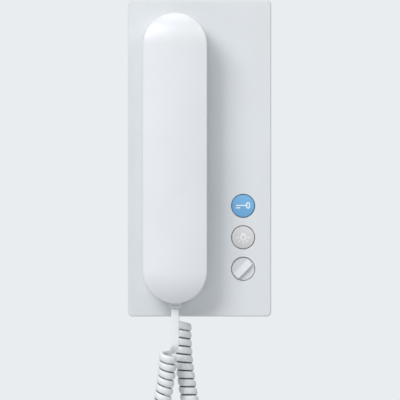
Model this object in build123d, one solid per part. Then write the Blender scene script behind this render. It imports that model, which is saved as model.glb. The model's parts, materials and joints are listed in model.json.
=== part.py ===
from build123d import *
import math
import os

# In-house telephone: a wall unit with a flat upright cover, a lift-off handset and a curly cord.
# Millimetres. X runs right, Z up, and the wall is the plane y = 0; the telephone stands out to -Y.
# A depth below is the distance from the wall, so a point of depth d has y = -d.

# Wall unit, overall
panel_width = 91.0
panel_height = 201.0
panel_corner = 3.0
panel_edge = 0.9
cover_wall = 2.2
cover_inner_corner = 1.0

# Clearances and overruns
overrun = 4.0
seat_gap = 0.3
slide_gap = 0.3
fit_gap = 0.15
running_gap = 0.05
recess_gap = 0.6

# Wall base
base_gap = 0.3
base_corner = 0.8
base_floor = 2.5
base_rim_depth = 8.0
base_rim_wall = 1.6
wall_screw_side_distance = 15.5
wall_screw_end_distance = 10.5
wall_hole_diameter = 4.4
wall_hole_pad_diameter = 11.0
wall_hole_pad_height = 1.2
cable_window_width = 26.0
cable_window_height = 40.0
cable_window_corner = 2.0
cable_window_side_distance = 23.5
cable_window_end_distance = 60.5

# Snap lugs on the base's rim, and their pockets in the cover
lug_width = 12.0
lug_thickness = 2.0
lug_reach = 1.2
lug_depth = 4.0
lug_pitch = 50.0
pocket_depth = 1.2

# Circuit board of the wall unit, with a tongue at its lower edge that carries the cord socket
board_side_gap = 1.4
board_end_gap = 0.4
board_top_rise = 22.2
board_thickness = 1.6
board_room_depth = 12.2
standoff_height = 3.5
standoff_diameter = 7.0
standoff_inset = 4.0
board_tongue_width = 20.0
board_tongue_height = 14.0
board_screw_diameter = 2.5
board_screw_length = 7.0
board_screw_head_diameter = 5.0
board_screw_head_height = 1.8
board_screw_slot_width = 0.8
board_screw_slot_depth = 0.7
board_hole_gap = 0.2

# Terminal block, beside the board screw at the board's upper right corner
terminal_count = 5
terminal_pitch = 5.0
terminal_length = 10.0
terminal_height = 8.0
terminal_screw_gap = 2.0
terminal_drop = 6.0
terminal_well_diameter = 4.2
terminal_well_depth = 3.6
terminal_screw_height = 2.0
terminal_mouth_width = 3.2
terminal_mouth_height = 3.0
terminal_mouth_lift = 0.8
terminal_mouth_length = 4.0

# Components on the board; a drop is measured down from the board's upper edge
chip_width = 15.0
chip_length = 10.0
chip_height = 2.4
chip_x = 2.0
chip_drop = 50.0
capacitor_diameter = 8.0
capacitor_cup_gap = 0.8
capacitor_side_distance = 9.0
capacitor_drop = 36.0
capacitor_pitch = 10.0
capacitor_count = 3
relay_width = 10.0
relay_length = 15.0
relay_height = 8.0
relay_x = 4.0
relay_drop = 28.0
rectifier_size = 7.0
rectifier_height = 3.0
rectifier_x = -6.0
rectifier_drop = 66.0

# Controls
control_side_distance = 17.8
control_top_rise = 70.3
control_pitch = 20.0
cap_diameter = 14.3
cap_side_gap = 0.5
cap_proud = 0.5
cap_crown = 0.9
cap_edge = 0.3
cap_face = 1.8
cap_bore_diameter = 10.6
cap_flange_diameter = 16.8
cap_flange_thickness = 1.2
key_travel = 1.2
key_stem_diameter = 3.0
collar_wall = 1.1
collar_height = 3.4
key_switch_size = 7.0
key_switch_height = 5.0
key_switch_floor = 0.6
key_switch_collar_diameter = 5.6
key_switch_collar_height = 0.8

# Symbols let into the two keys
symbol_depth = 0.6
symbol_stroke = 0.68
key_shaft_left = 4.6
key_shaft_right = 2.5
key_shaft_lift = 0.25
key_bit_length = 2.7
key_bit_drop = 1.25
key_bow_x = 3.15
key_bow_width = 2.4
key_bow_height = 4.0
key_bow_corner = 1.0
bulb_diameter = 3.8
bulb_drop = 0.1
bulb_neck_width = 1.6
bulb_neck_top = 2.6
ray_inner = 2.7
ray_outer = 4.5
low_ray_outer = 4.0
ray_count = 5
ray_step_degrees = 45.0

# Volume and mute knob
knob_disc_sink = 0.9
knob_bar_width = 4.3
knob_bar_length = 13.2
knob_bar_height = 2.0
knob_bar_lean = 1.4
knob_bar_facet = 2.6
knob_bar_facet_drop = 1.1
knob_bar_degrees = 45.0
knob_disc_thickness = 1.6
knob_hub_diameter = 9.0
knob_hub_gap = 1.3
knob_shaft_diameter = 6.0
knob_shaft_flat = 1.2
volume_switch_size = 12.0
volume_switch_height = 5.2
volume_switch_floor = 0.8
volume_bush_diameter = 9.0
volume_bush_height = 1.6

# Handset, and the strips of cover that show beside and beyond it
handset_side_margin = 9.75
handset_end_margin = 8.75
handset_width = 40.7
handset_thickness = 23.6
handset_rest_gap = 0.4
handset_wall = 2.0
handset_back_height = 4.8
handset_crown_radius = 80.0
handset_end_radius = 31.0
handset_end_run = 20.0
handset_end_degrees = 55.0
handset_front_edge = 1.1
handset_back_edge = 0.8
handset_lip_wall = 1.0
handset_lip_height = 1.6

# Ear and mouth pads of the handset, and their recesses in the cover
pad_height = 3.0
pad_wall = 1.6
pad_edge = 0.8
ear_pad_side_margin = 4.3
ear_pad_end_distance = 24.4
mouth_pad_side_margin = 6.1
mouth_pad_end_distance = 24.4
sound_hole_diameter = 2.0
sound_hole_ring_diameter = 11.0
sound_hole_ring_count = 8
mic_hole_ring_diameter = 4.6
mic_hole_ring_count = 6
mic_hole_diameter = 1.2

# Pieces in the handset
earpiece_collar_wall = 0.45
earpiece_height = 8.0
earpiece_step_inset = 3.3
earpiece_step_height = 2.2
earpiece_collar_height = 4.6
foam_inset = 4.3
foam_height = 1.0
mic_diameter = 9.7
mic_height = 5.0
boot_diameter = 13.0
boot_floor = 1.0
boot_sound_bore_diameter = 6.0
mic_collar_wall = 1.2
mic_collar_height = 1.8
magnet_length = 24.0
magnet_width = 10.0
magnet_thickness = 2.5
keeper_thickness = 1.0
keeper_rib_wall = 1.2
keeper_rib_height = 1.6
handset_screw_pad_gap = 6.5
handset_screw_diameter = 2.9
handset_screw_length = 13.0
handset_screw_head_diameter = 5.6
handset_screw_head_height = 1.7
handset_screw_head_sink = 0.4
handset_boss_diameter = 9.0
handset_pillar_diameter = 7.0
handset_board_width = 13.0
handset_board_length = 11.5
handset_board_thickness = 1.2
handset_board_rise = 2.0
handset_post_diameter = 3.0
handset_post_height = 0.85
handset_post_inset = 2.4

# Hook plunger, spring and switch
hook_travel = 2.5
hook_tip_diameter = 7.0
hook_tip_edge = 1.0
hook_flange_diameter = 10.0
hook_flange_thickness = 1.2
hook_stem_diameter = 3.2
hook_stem_lift = 0.5
hook_switch_width = 12.0
hook_switch_length = 14.0
hook_switch_floor = 0.5
hook_spring_room = 4.0
hook_spring_wire_diameter = 0.6
hook_spring_diameter = 7.0
hook_spring_turns = 3

# Call loudspeaker
speaker_diameter = 36.0
speaker_frame_height = 3.0
speaker_magnet_diameter = 18.0
speaker_magnet_height = 4.0
speaker_cone_diameter = 30.0
speaker_cone_depth = 1.4
speaker_collar_wall = 1.4
speaker_collar_height = 5.0
speaker_ring_flange = 1.0
speaker_ring_bore_diameter = 30.0
sound_slot_count = 5
sound_slot_pitch = 4.0
sound_slot_width = 1.6
sound_slot_length = 20.0

# Between the two recesses the loudspeaker, the magnet and the hook follow each other downward,
# each with its share of the height that they leave free
speaker_gap_share = 0.08
magnet_gap_share = 0.24
hook_gap_share = 0.25

# Cord sockets and plugs
plug_width = 7.65
plug_thickness = 6.0
plug_corner = 0.8
plug_insert_length = 8.0
jack_wall = 1.4
jack_floor = 1.6
jack_length = 10.2
handset_jack_end_distance = 3.2
handset_plug_tail = 2.6
handset_plug_neck_width = 6.6
handset_plug_neck_thickness = 4.4
handset_plug_neck_length = 0.6
handset_plug_slot_width = 5.2
handset_plug_slot_height = 0.8
handset_plug_slot_depth = 0.8
handset_plug_slot_drop = 1.3
base_jack_offset = 0.7
base_plug_tail = 2.0
cord_port_gap = 0.8

# Wires inside: one pair from the board to the loudspeaker, one from the handset's socket to its earpiece
wire_diameter = 0.7
wire_pitch = 0.9
wire_bend_share = 0.45
speaker_wire_offset = 3.0
speaker_wire_drop = 11.0
speaker_wire_board_drop = 3.0
speaker_wire_lift = 3.9
earpiece_wire_offset = 4.75
earpiece_wire_drop = 6.0
earpiece_wire_lift = 3.0

# Cord: a flat straight lead, then a curly part wound left-handed round a hanging loop
lead_width = 5.0
lead_thickness = 2.6
lead_corner = 1.0
cord_wire_diameter = 3.7
coil_radius = 3.75
coil_pitch = 5.2
coil_bend_pitch = 6.0
coil_bend_middle_share = 0.5
coil_bend_spread_share = 0.22
coil_lead_reach = 5.6
coil_route_steps = 40
coil_heading_turn_share = 0.01
coil_gap_samples = 12
coil_gap_skip_share = 2.2
coil_facing = (0.22, -0.97, 0.0)
coil_route = [
    (-20.0, -31.0, -122.6),
    (-20.2, -28.6, -131.5),
    (-21.8, -25.6, -143.5),
    (-25.0, -22.2, -161.0),
    (-30.5, -19.6, -190.0),
    (-36.5, -17.9, -226.0),
    (-38.8, -17.0, -262.0),
    (-38.6, -16.7, -286.0),
    (-25.0, -15.9, -300.5),
    (-5.6, -14.7, -300.5),
    (8.2, -13.8, -286.0),
    (8.4, -13.3, -262.0),
    (5.6, -12.9, -226.0),
    (0.2, -12.5, -190.0),
    (-5.0, -12.2, -161.0),
    (-8.4, -12.1, -142.0),
    (-10.2, -12.1, -126.0),
    (-10.8, -12.1, -114.0),
    (-10.8, -12.1, -105.3),
]

# Depths that follow from the sizes above, from the wall outward
board_back_depth = base_floor + standoff_height
board_front_depth = board_back_depth + board_thickness
cover_inner_depth = board_front_depth + board_room_depth
panel_depth = cover_inner_depth + cover_wall
flange_front_depth = cover_inner_depth - seat_gap
flange_back_depth = flange_front_depth - cap_flange_thickness
hook_flange_front_depth = cover_inner_depth - seat_gap - hook_travel
hook_flange_back_depth = hook_flange_front_depth - hook_flange_thickness
hook_switch_top_depth = hook_flange_back_depth - hook_spring_room
volume_mouth_depth = board_front_depth + volume_switch_height + volume_bush_height
knob_hub_back_depth = volume_mouth_depth + knob_hub_gap
cap_crown_radius = ((cap_diameter / 2) ** 2 + cap_crown ** 2) / (2 * cap_crown)
speaker_wire_depth = board_front_depth + speaker_wire_lift
handset_back_depth = panel_depth + handset_rest_gap
handset_front_depth = handset_back_depth + handset_thickness
handset_parting_depth = handset_back_depth + handset_back_height
hook_tip_depth = handset_back_depth - seat_gap
pad_front_depth = handset_back_depth - pad_height
recess_floor_depth = pad_front_depth - seat_gap
capacitor_top_depth = recess_floor_depth - cover_wall - capacitor_cup_gap
jack_width = plug_width + 2 * fit_gap + 2 * jack_wall
jack_thickness = plug_thickness + 2 * fit_gap + 2 * jack_wall
base_plug_depth = board_front_depth + jack_thickness / 2
handset_board_depth = handset_back_depth + handset_wall + handset_post_height
handset_plug_depth = handset_board_depth + handset_board_thickness + jack_thickness / 2
earpiece_wire_depth = handset_plug_depth + earpiece_wire_lift

# Widths and places across
base_width = panel_width - 2 * (cover_wall + base_gap)
board_width = base_width - 2 * (base_rim_wall + board_side_gap)
screw_pitch_across = panel_width - 2 * wall_screw_side_distance
cable_window_x = panel_width / 2 - cable_window_side_distance
handset_x = handset_side_margin + handset_width / 2 - panel_width / 2
control_x = panel_width / 2 - control_side_distance
control_hole_diameter = cap_diameter + 2 * cap_side_gap
collar_bore_diameter = cap_flange_diameter + 2 * slide_gap
ear_pad_diameter = handset_width - 2 * ear_pad_side_margin
mouth_pad_diameter = handset_width - 2 * mouth_pad_side_margin
earpiece_diameter = ear_pad_diameter - 2 * (pad_wall + earpiece_collar_wall + fit_gap)
speaker_seat_diameter = speaker_diameter + 2 * (fit_gap + speaker_collar_wall)
board_screw_x = board_width / 2 - standoff_inset
terminal_right_x = board_screw_x - board_screw_head_diameter / 2 - terminal_screw_gap
terminal_x = terminal_right_x - terminal_count * terminal_pitch / 2
capacitor_x = capacitor_side_distance - board_width / 2
base_jack_x = handset_x + base_jack_offset
speaker_wire_x = handset_x + speaker_wire_offset
earpiece_wire_x = handset_x + earpiece_wire_offset

# Heights and places up the wall
base_height = panel_height - 2 * (cover_wall + base_gap)
screw_pitch_up = panel_height - 2 * wall_screw_end_distance
cable_window_z = panel_height / 2 - cable_window_end_distance
base_jack_bottom_z = base_rim_wall + board_end_gap - base_height / 2
board_bottom_z = base_jack_bottom_z + board_tongue_height
door_z = control_top_rise - panel_height / 2
light_z = door_z - control_pitch
volume_z = light_z - control_pitch
board_top_z = door_z + board_top_rise
board_height = board_top_z - board_bottom_z
board_middle_z = board_top_z - board_height / 2
terminal_z = board_top_z - terminal_drop
chip_z = board_top_z - chip_drop
capacitor_z = board_top_z - capacitor_drop
relay_z = board_top_z - relay_drop
rectifier_z = board_top_z - rectifier_drop
handset_length = panel_height - 2 * handset_end_margin
ear_pad_z = handset_length / 2 - ear_pad_end_distance
mouth_pad_z = mouth_pad_end_distance - handset_length / 2
handset_screw_z = ear_pad_z - ear_pad_diameter / 2 - handset_screw_pad_gap
handset_jack_bottom_z = handset_jack_end_distance - handset_length / 2
handset_board_bottom_z = handset_jack_bottom_z + handset_board_rise
handset_plug_slot_z = -handset_length / 2 - handset_plug_slot_drop
handset_plug_bottom_z = -handset_length / 2 - handset_plug_tail - handset_plug_neck_length
base_plug_bottom_z = base_jack_bottom_z - base_plug_tail
ear_cup_low_z = ear_pad_z - ear_pad_diameter / 2 - recess_gap - cover_wall
mouth_cup_high_z = mouth_pad_z + mouth_pad_diameter / 2 + recess_gap + cover_wall
held_height = speaker_seat_diameter + magnet_width + hook_flange_diameter
free_height = ear_cup_low_z - mouth_cup_high_z - held_height
speaker_z = ear_cup_low_z - speaker_gap_share * free_height - speaker_seat_diameter / 2
magnet_top_z = speaker_z - speaker_seat_diameter / 2 - magnet_gap_share * free_height
magnet_z = magnet_top_z - magnet_width / 2
hook_z = magnet_top_z - magnet_width - hook_gap_share * free_height - hook_flange_diameter / 2
speaker_wire_top_z = speaker_z - speaker_wire_drop
speaker_wire_end_z = board_top_z - speaker_wire_board_drop
earpiece_wire_top_z = ear_pad_z - earpiece_wire_drop


def facing(x, z, depth):
    """A plane that faces out of the wall, at a depth: its x runs right and its y runs up."""
    return Plane(origin=(x, -depth, z), x_dir=(1, 0, 0), z_dir=(0, -1, 0))


def raised(sketch, depth_from, depth_to, x=0, z=0):
    """A flat outline, drawn as seen from the front, made solid between two depths."""
    return extrude(facing(x, z, depth_from) * sketch, amount=depth_to - depth_from)


def disc(diameter, depth_from, depth_to, x=0, z=0):
    return raised(Circle(diameter / 2), depth_from, depth_to, x, z)


def tube(diameter, bore, depth_from, depth_to, x=0, z=0):
    return raised(Circle(diameter / 2) - Circle(bore / 2), depth_from, depth_to, x, z)


def block(width, height, depth_from, depth_to, x=0, z=0):
    return raised(Rectangle(width, height), depth_from, depth_to, x, z)


def at_depth(shape, depth):
    """The edges or faces of a solid whose middle lies at a depth."""
    close = running_gap / 2
    return [item for item in shape if abs(item.center().Y + depth) < close]


def spread(count, pitch):
    """Places in a row, centred on zero."""
    return [(index - (count - 1) / 2) * pitch for index in range(count)]


def ring_places(count, diameter):
    """Places round a circle, starting at the right."""
    turns = [2 * math.pi * index / count for index in range(count)]
    return [(diameter / 2 * math.cos(turn), diameter / 2 * math.sin(turn)) for turn in turns]


# Wall base

def board_corner_places():
    up = board_height / 2 - standoff_inset
    return [(x, board_middle_z + z) for x in (-board_screw_x, board_screw_x) for z in (-up, up)]


def wall_screw_places():
    across = screw_pitch_across / 2
    up = screw_pitch_up / 2
    return [(x, z) for x in (-across, across) for z in (-up, up)]


def make_wall_base():
    outline = RectangleRounded(base_width, base_height, base_corner)
    inside = Rectangle(base_width - 2 * base_rim_wall, base_height - 2 * base_rim_wall)
    base = raised(outline, 0, base_rim_depth) - raised(inside, base_floor, base_rim_depth + overrun)
    for x, z in board_corner_places():
        base += disc(standoff_diameter, base_floor, board_back_depth, x, z)
    for x, z in wall_screw_places():
        base += disc(wall_hole_pad_diameter, base_floor, base_floor + wall_hole_pad_height, x, z)
    for x in spread(2, lug_pitch):
        for side in (-1, 1):
            middle = side * (base_height / 2 + lug_reach / 2)
            base += block(lug_width, lug_reach, lug_depth, lug_depth + lug_thickness, x, middle)
    for x, z in board_corner_places():
        base -= disc(board_screw_diameter, 0, board_back_depth + overrun, x, z)
    for x, z in wall_screw_places():
        base -= disc(wall_hole_diameter, -overrun, base_rim_depth, x, z)
    window = RectangleRounded(cable_window_width, cable_window_height, cable_window_corner)
    base -= raised(window, -overrun, base_rim_depth, cable_window_x, cable_window_z)
    return base


# Front cover

def make_front_cover():
    outline = RectangleRounded(panel_width, panel_height, panel_corner)
    cover = raised(outline, 0, panel_depth)
    cover = fillet(at_depth(cover.edges(), panel_depth), panel_edge)
    inner_width = panel_width - 2 * cover_wall
    inner_height = panel_height - 2 * cover_wall
    inside = RectangleRounded(inner_width, inner_height, cover_inner_corner)
    cover -= raised(inside, -overrun, cover_inner_depth)
    cover = add_recesses(cover)
    cover = add_control_holes(cover)
    cover = add_speaker_seat(cover)
    cover = add_keeper_seat(cover)
    hook_hole = hook_tip_diameter + 2 * slide_gap
    cover -= disc(hook_hole, 0, panel_depth + overrun, handset_x, hook_z)
    for x in spread(2, lug_pitch):
        for side in (-1, 1):
            middle = side * (inner_height / 2 + pocket_depth / 2)
            low = lug_depth - seat_gap
            high = lug_depth + lug_thickness + seat_gap
            cover -= block(lug_width + 2 * seat_gap, pocket_depth, low, high, x, middle)
    port = Rectangle(plug_width + 2 * cord_port_gap, 2 * cover_wall + overrun)
    port_half = plug_thickness / 2 + cord_port_gap
    low = base_plug_depth - port_half
    high = base_plug_depth + port_half
    cover -= raised(port, low, high, base_jack_x, -panel_height / 2)
    return cover


def add_recesses(cover):
    """The two round recesses that take the handset's ear and mouth pads."""
    for diameter, z in ((ear_pad_diameter, ear_pad_z), (mouth_pad_diameter, mouth_pad_z)):
        bore = diameter + 2 * recess_gap
        cup = disc(bore + 2 * cover_wall, recess_floor_depth - cover_wall, cover_inner_depth, handset_x, z)
        cover += cup
        cover -= disc(bore, recess_floor_depth, panel_depth + overrun, handset_x, z)
    return cover


def add_control_holes(cover):
    """Three holes, each with a collar behind it that guides the flange of its key or knob."""
    collar_back = cover_inner_depth - collar_height
    for z in (door_z, light_z, volume_z):
        outer = collar_bore_diameter + 2 * collar_wall
        cover += tube(outer, collar_bore_diameter, collar_back, cover_inner_depth, control_x, z)
    for z in (door_z, light_z, volume_z):
        cover -= disc(collar_bore_diameter, 0, cover_inner_depth, control_x, z)
        cover -= disc(control_hole_diameter, 0, panel_depth + overrun, control_x, z)
    return cover


def add_speaker_seat(cover):
    """A collar for the loudspeaker, with sound slots hidden behind the handset."""
    bore = speaker_diameter + 2 * fit_gap
    collar_back = cover_inner_depth - speaker_collar_height
    cover += tube(speaker_seat_diameter, bore, collar_back, cover_inner_depth, handset_x, speaker_z)
    for z in spread(sound_slot_count, sound_slot_pitch):
        slot = SlotOverall(sound_slot_length, sound_slot_width)
        cover -= raised(slot, 0, panel_depth + overrun, handset_x, speaker_z + z)
    return cover


def add_keeper_seat(cover):
    """Two ribs that hold the steel keeper plate behind the cover."""
    back = cover_inner_depth - keeper_rib_height
    middle = magnet_length / 2 + fit_gap + keeper_rib_wall / 2
    for side in (-1, 1):
        x = handset_x + side * middle
        cover += block(keeper_rib_wall, magnet_width, back, cover_inner_depth, x, magnet_z)
    return cover


def make_keeper_plate():
    back = cover_inner_depth - keeper_thickness
    return block(magnet_length, magnet_width, back, cover_inner_depth, handset_x, magnet_z)


# Circuit board and what stands on it

def make_circuit_board():
    board = block(board_width, board_height, board_back_depth, board_front_depth, 0, board_middle_z)
    tongue_z = board_bottom_z - board_tongue_height / 2
    tongue = (board_tongue_width, board_tongue_height, board_back_depth, board_front_depth)
    board += block(*tongue, base_jack_x, tongue_z)
    for x, z in board_corner_places():
        hole = board_screw_diameter + 2 * board_hole_gap
        board -= disc(hole, 0, board_front_depth + overrun, x, z)
    return board


def make_board_screws():
    screws = []
    head_top = board_front_depth + board_screw_head_height
    for x, z in board_corner_places():
        shank = board_screw_diameter - 2 * running_gap
        tip = board_front_depth - board_screw_length
        screw = disc(shank, tip, board_front_depth, x, z)
        screw += disc(board_screw_head_diameter, board_front_depth, head_top, x, z)
        slot = (board_screw_head_diameter + overrun, board_screw_slot_width)
        screw -= block(*slot, head_top - board_screw_slot_depth, head_top + overrun, x, z)
        screws.append(screw)
    return screws


def make_terminal_block():
    length = terminal_count * terminal_pitch
    top = board_front_depth + terminal_height
    body = block(length, terminal_length, board_front_depth, top, terminal_x, terminal_z)
    mouth_low = board_front_depth + terminal_mouth_lift
    mouth_high = mouth_low + terminal_mouth_height
    mouth_z = terminal_z + terminal_length / 2
    for x in spread(terminal_count, terminal_pitch):
        place = terminal_x + x
        body -= disc(terminal_well_diameter, top - terminal_well_depth, top + overrun, place, terminal_z)
        mouth = (terminal_mouth_width, 2 * terminal_mouth_length)
        body -= block(*mouth, mouth_low, mouth_high, place, mouth_z)
    return body


def make_terminal_screws():
    screws = []
    low = board_front_depth + terminal_height - terminal_well_depth
    high = low + terminal_screw_height
    for x in spread(terminal_count, terminal_pitch):
        place = terminal_x + x
        diameter = terminal_well_diameter - 2 * running_gap
        screw = disc(diameter, low, high, place, terminal_z)
        slot = (diameter + overrun, board_screw_slot_width)
        screw -= block(*slot, high - board_screw_slot_depth, high + overrun, place, terminal_z)
        screws.append(screw)
    return screws


def make_board_components():
    """One controller chip, a relay, a rectifier and a row of capacitors."""
    front = board_front_depth
    pieces = [
        block(chip_width, chip_length, front, front + chip_height, chip_x, chip_z),
        block(relay_width, relay_length, front, front + relay_height, relay_x, relay_z),
        block(rectifier_size, rectifier_size, front, front + rectifier_height, rectifier_x, rectifier_z),
    ]
    for z in spread(capacitor_count, capacitor_pitch):
        pieces.append(disc(capacitor_diameter, front, capacitor_top_depth, capacitor_x, capacitor_z + z))
    return pieces


# Keys, their symbols and switches

def key_symbol():
    """A key lying flat, with its bow at the right."""
    shaft_length = key_shaft_left + key_shaft_right
    shaft_middle = (key_shaft_right - key_shaft_left) / 2
    shaft = Pos(shaft_middle, key_shaft_lift) * Rectangle(shaft_length, symbol_stroke)
    bit_middle = -key_shaft_left + key_bit_length / 2
    bit = Pos(bit_middle, -key_bit_drop) * Rectangle(key_bit_length, symbol_stroke)
    place = Pos(key_bow_x, key_shaft_lift)
    bow = place * RectangleRounded(key_bow_width, key_bow_height, key_bow_corner)
    inner = (key_bow_width - 2 * symbol_stroke, key_bow_height - 2 * symbol_stroke)
    hole = place * RectangleRounded(*inner, key_bow_corner - symbol_stroke)
    return [shaft + bow - hole, bit]


def bulb_symbol():
    """A hanging light bulb with rays to the sides and below."""
    radius = bulb_diameter / 2
    neck = bulb_neck_width / 2
    top = bulb_neck_top + bulb_drop
    glass = Circle(radius) + Polygon((-radius, 0), (radius, 0), (neck, top), (-neck, top), align=None)
    inner = radius - symbol_stroke
    throat = neck - symbol_stroke / 2
    roof = top - radius / 2
    hollow = Circle(inner) + Polygon((-inner, 0), (inner, 0), (throat, roof), (-throat, roof), align=None)
    shapes = [Pos(0, -bulb_drop) * (glass - hollow)]
    for index in range(ray_count):
        outer = ray_outer if index in (0, ray_count - 1) else low_ray_outer
        ray = Pos((ray_inner + outer) / 2, 0) * Rectangle(outer - ray_inner, symbol_stroke)
        shapes.append(Pos(0, -bulb_drop) * Rot(0, 0, -index * ray_step_degrees) * ray)
    return shapes


def cap_limit(z):
    """A level roller whose front is the curve of a key's front, highest across the key's middle."""
    front = panel_depth + cap_proud
    roller = Cylinder(cap_crown_radius, 2 * cap_diameter, rotation=(0, 90, 0))
    return Pos(control_x, cap_crown_radius - front, z) * roller


def make_symbol(shapes, z):
    front = panel_depth + cap_proud
    solids = [raised(shape, front - symbol_depth, front, control_x, z) for shape in shapes]
    return [solid & cap_limit(z) for solid in solids]


def make_key(shapes, z):
    """A round key cap with a flange behind the cover and a stem that reaches into its switch."""
    front = panel_depth + cap_proud
    key = disc(cap_diameter, flange_front_depth, front, control_x, z) & cap_limit(z)
    key = fillet(key.faces().sort_by(Axis.Y)[0].edges(), cap_edge)
    key += disc(cap_flange_diameter, flange_back_depth, flange_front_depth, control_x, z)
    key -= disc(cap_bore_diameter, flange_back_depth - overrun, front - cap_face, control_x, z)
    stem_end = board_front_depth + key_switch_floor + seat_gap + key_travel
    key += disc(key_stem_diameter, stem_end, front - cap_face, control_x, z)
    for piece in make_symbol(shapes, z):
        key -= piece
    return key


def make_key_switch(z):
    """A push switch on the board, with a bore that takes the key's stem."""
    top = board_front_depth + key_switch_height
    mouth = top + key_switch_collar_height
    switch = block(key_switch_size, key_switch_size, board_front_depth, top, control_x, z)
    switch += disc(key_switch_collar_diameter, top, mouth, control_x, z)
    bore = key_stem_diameter + 2 * slide_gap
    switch -= disc(bore, board_front_depth + key_switch_floor, mouth + overrun, control_x, z)
    return switch


# Volume knob, its shaft and its switch

def knob_bar():
    """The raised grip across the knob: its front leans, with a facet that slopes down at its pointer end."""
    disc_front = panel_depth - knob_disc_sink
    half = knob_bar_length / 2
    top = knob_bar_height
    facet_start = half - knob_bar_facet
    points = [(-half, 0), (half, 0), (half, top - knob_bar_facet_drop), (facet_start, top), (-half, top)]
    side = Plane(origin=(0, 0, 0), x_dir=(1, 0, 0), z_dir=(0, 0, 1)) * Polygon(*points, align=None)
    across = knob_bar_width / 2
    points = [(-across, 0), (across, 0), (across, top), (-across, top - knob_bar_lean)]
    end = Plane(origin=(0, 0, 0), x_dir=(0, 0, 1), z_dir=(-1, 0, 0)) * Polygon(*points, align=None)
    bar = extrude(side, amount=across, both=True) & extrude(end, amount=half, both=True)
    upright = Pos(control_x, -disc_front, volume_z) * Rot(0, -knob_bar_degrees, 0)
    return upright * Rot(180, 0, 0) * bar


def make_volume_knob():
    disc_front = panel_depth - knob_disc_sink
    back = disc_front - knob_disc_thickness
    knob = disc(cap_diameter, back, disc_front, control_x, volume_z)
    knob += disc(cap_flange_diameter, flange_back_depth, flange_front_depth, control_x, volume_z)
    knob += disc(knob_hub_diameter, knob_hub_back_depth, back, control_x, volume_z)
    limit = disc(cap_diameter, back, disc_front + 2 * knob_bar_height, control_x, volume_z)
    knob += knob_bar() & limit
    knob -= shaft_solid(knob_hub_back_depth - overrun, flange_back_depth, running_gap)
    return knob


def shaft_solid(depth_from, depth_to, growth):
    """The shaft's round section with one flat, grown by a gap."""
    radius = knob_shaft_diameter / 2 + growth
    section = Circle(radius)
    flat_place = radius - knob_shaft_flat
    section -= Pos(flat_place + radius / 2, 0) * Rectangle(radius, 2 * radius)
    return raised(section, depth_from, depth_to, control_x, volume_z)


def make_volume_shaft():
    low = board_front_depth + volume_switch_floor + seat_gap
    shaft = disc(knob_shaft_diameter, low, volume_mouth_depth, control_x, volume_z)
    return shaft + shaft_solid(volume_mouth_depth, flange_back_depth - running_gap, 0)


def make_volume_switch():
    top = board_front_depth + volume_switch_height
    size = volume_switch_size
    switch = block(size, size, board_front_depth, top, control_x, volume_z)
    switch += disc(volume_bush_diameter, top, volume_mouth_depth, control_x, volume_z)
    bore = knob_shaft_diameter + 2 * running_gap
    low = board_front_depth + volume_switch_floor
    switch -= disc(bore, low, volume_mouth_depth + overrun, control_x, volume_z)
    return switch


# Hook plunger, spring and switch

def make_hook_plunger():
    tip = disc(hook_tip_diameter, hook_flange_front_depth, hook_tip_depth, handset_x, hook_z)
    tip = fillet(at_depth(tip.edges(), hook_tip_depth), hook_tip_edge)
    flange = (hook_flange_diameter, hook_flange_back_depth, hook_flange_front_depth)
    stem_end = board_front_depth + hook_switch_floor + hook_stem_lift
    stem = (hook_stem_diameter, stem_end, hook_flange_back_depth)
    return tip + disc(*flange, handset_x, hook_z) + disc(*stem, handset_x, hook_z)


def make_hook_switch():
    size = (hook_switch_width, hook_switch_length, board_front_depth, hook_switch_top_depth)
    switch = block(*size, handset_x, hook_z)
    bore = hook_stem_diameter + 2 * slide_gap
    low = board_front_depth + hook_switch_floor
    return switch - disc(bore, low, hook_switch_top_depth + overrun, handset_x, hook_z)


def make_hook_spring():
    """A round wire wound from the switch's top to the plunger's flange, pushed together."""
    radius = (hook_spring_diameter - hook_spring_wire_diameter) / 2
    low = hook_switch_top_depth + hook_spring_wire_diameter / 2
    high = hook_flange_back_depth - hook_spring_wire_diameter / 2
    steps = 2 * hook_spring_turns
    stations = []
    for step in range(steps + 1):
        turn = math.pi * step
        depth = low + (high - low) * step / steps
        place = Vector(handset_x + radius * math.cos(turn), -depth, hook_z + radius * math.sin(turn))
        rise = (high - low) / hook_spring_turns / (2 * math.pi)
        heading = Vector(-radius * math.sin(turn), -rise, radius * math.cos(turn))
        stations.append((place, heading.normalized()))
    return sweep_wire(arc_chain(stations), hook_spring_wire_diameter)


# Call loudspeaker

def make_call_speaker():
    frame_back = cover_inner_depth - speaker_frame_height
    magnet_back = frame_back - speaker_magnet_height
    speaker = disc(speaker_diameter, frame_back, cover_inner_depth, handset_x, speaker_z)
    cone_low = cover_inner_depth - speaker_cone_depth
    speaker -= disc(speaker_cone_diameter, cone_low, cover_inner_depth + overrun, handset_x, speaker_z)
    return speaker + disc(speaker_magnet_diameter, magnet_back, frame_back, handset_x, speaker_z)


def make_speaker_ring():
    """The ring that closes the loudspeaker's collar from behind and presses on its frame."""
    frame_back = cover_inner_depth - speaker_frame_height
    collar_back = cover_inner_depth - speaker_collar_height
    bore = speaker_ring_bore_diameter
    flange_back = collar_back - speaker_ring_flange
    ring = tube(speaker_seat_diameter, bore, flange_back, collar_back, handset_x, speaker_z)
    return ring + tube(speaker_diameter, bore, collar_back, frame_back, handset_x, speaker_z)


# Handset shells

def handset_outline(inset):
    """The handset's upright stadium, drawn inside by an inset."""
    return Rot(0, 0, 90) * SlotOverall(handset_length - 2 * inset, handset_width - 2 * inset)


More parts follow.
